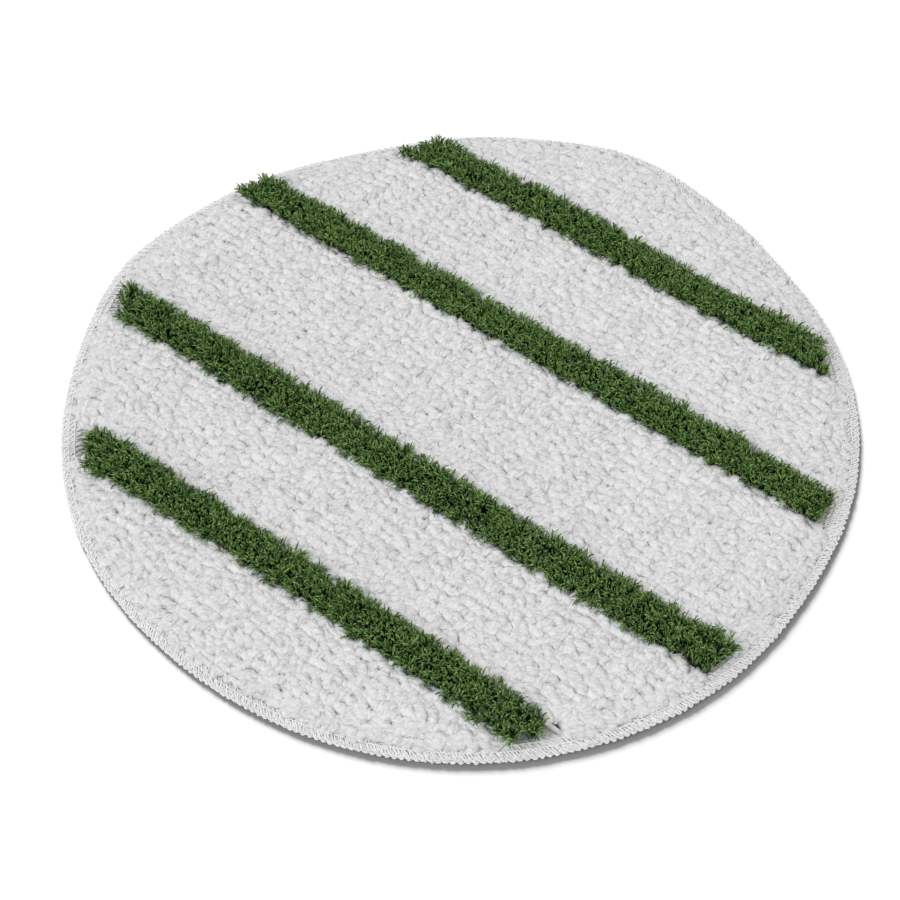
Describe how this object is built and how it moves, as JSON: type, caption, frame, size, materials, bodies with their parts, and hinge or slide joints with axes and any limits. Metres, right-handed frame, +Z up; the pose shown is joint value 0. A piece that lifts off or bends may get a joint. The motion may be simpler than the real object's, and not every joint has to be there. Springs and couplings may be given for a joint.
{
  "type": "carpet cleaning bonnet",
  "caption": "Round carpet bonnet for a floor machine: white looped pile with green cut-pile scrub strips on a woven cloth, with an overlocked edge.",
  "frame": {"origin": "centre of the back face, on the surface that the pad lies on", "axes": "+X along the scrub strips, +Z up out of the pile"},
  "size_m": [0.4825, 0.4826, 0.016],
  "materials": {
    "loop_yarn": "matte",
    "scrub_yarn": "satin",
    "backing_weave": "matte",
    "overlock_thread": "satin"
  },
  "bodies": {
    "root": {"backing_cloth": "backing_weave", "pile_band_1": "loop_yarn", "pile_band_2": "loop_yarn", "pile_band_3": "loop_yarn", "pile_band_4": "loop_yarn", "pile_band_5": "loop_yarn", "scrub_strip_1": "scrub_yarn", "scrub_strip_2": "scrub_yarn", "scrub_strip_3": "scrub_yarn", "scrub_strip_4": "scrub_yarn", "band_back_stitch_1": "loop_yarn", "band_back_stitch_2": "loop_yarn", "band_back_stitch_3": "loop_yarn", "band_back_stitch_4": "loop_yarn", "band_back_stitch_5": "loop_yarn", "strip_back_stitch_1": "scrub_yarn", "strip_back_stitch_2": "scrub_yarn", "strip_back_stitch_3": "scrub_yarn", "strip_back_stitch_4": "scrub_yarn", "upper_looper_thread": "overlock_thread", "lower_looper_thread": "overlock_thread", "outer_needle_thread": "overlock_thread", "inner_needle_thread": "overlock_thread"}
  },
  "joints": []
}
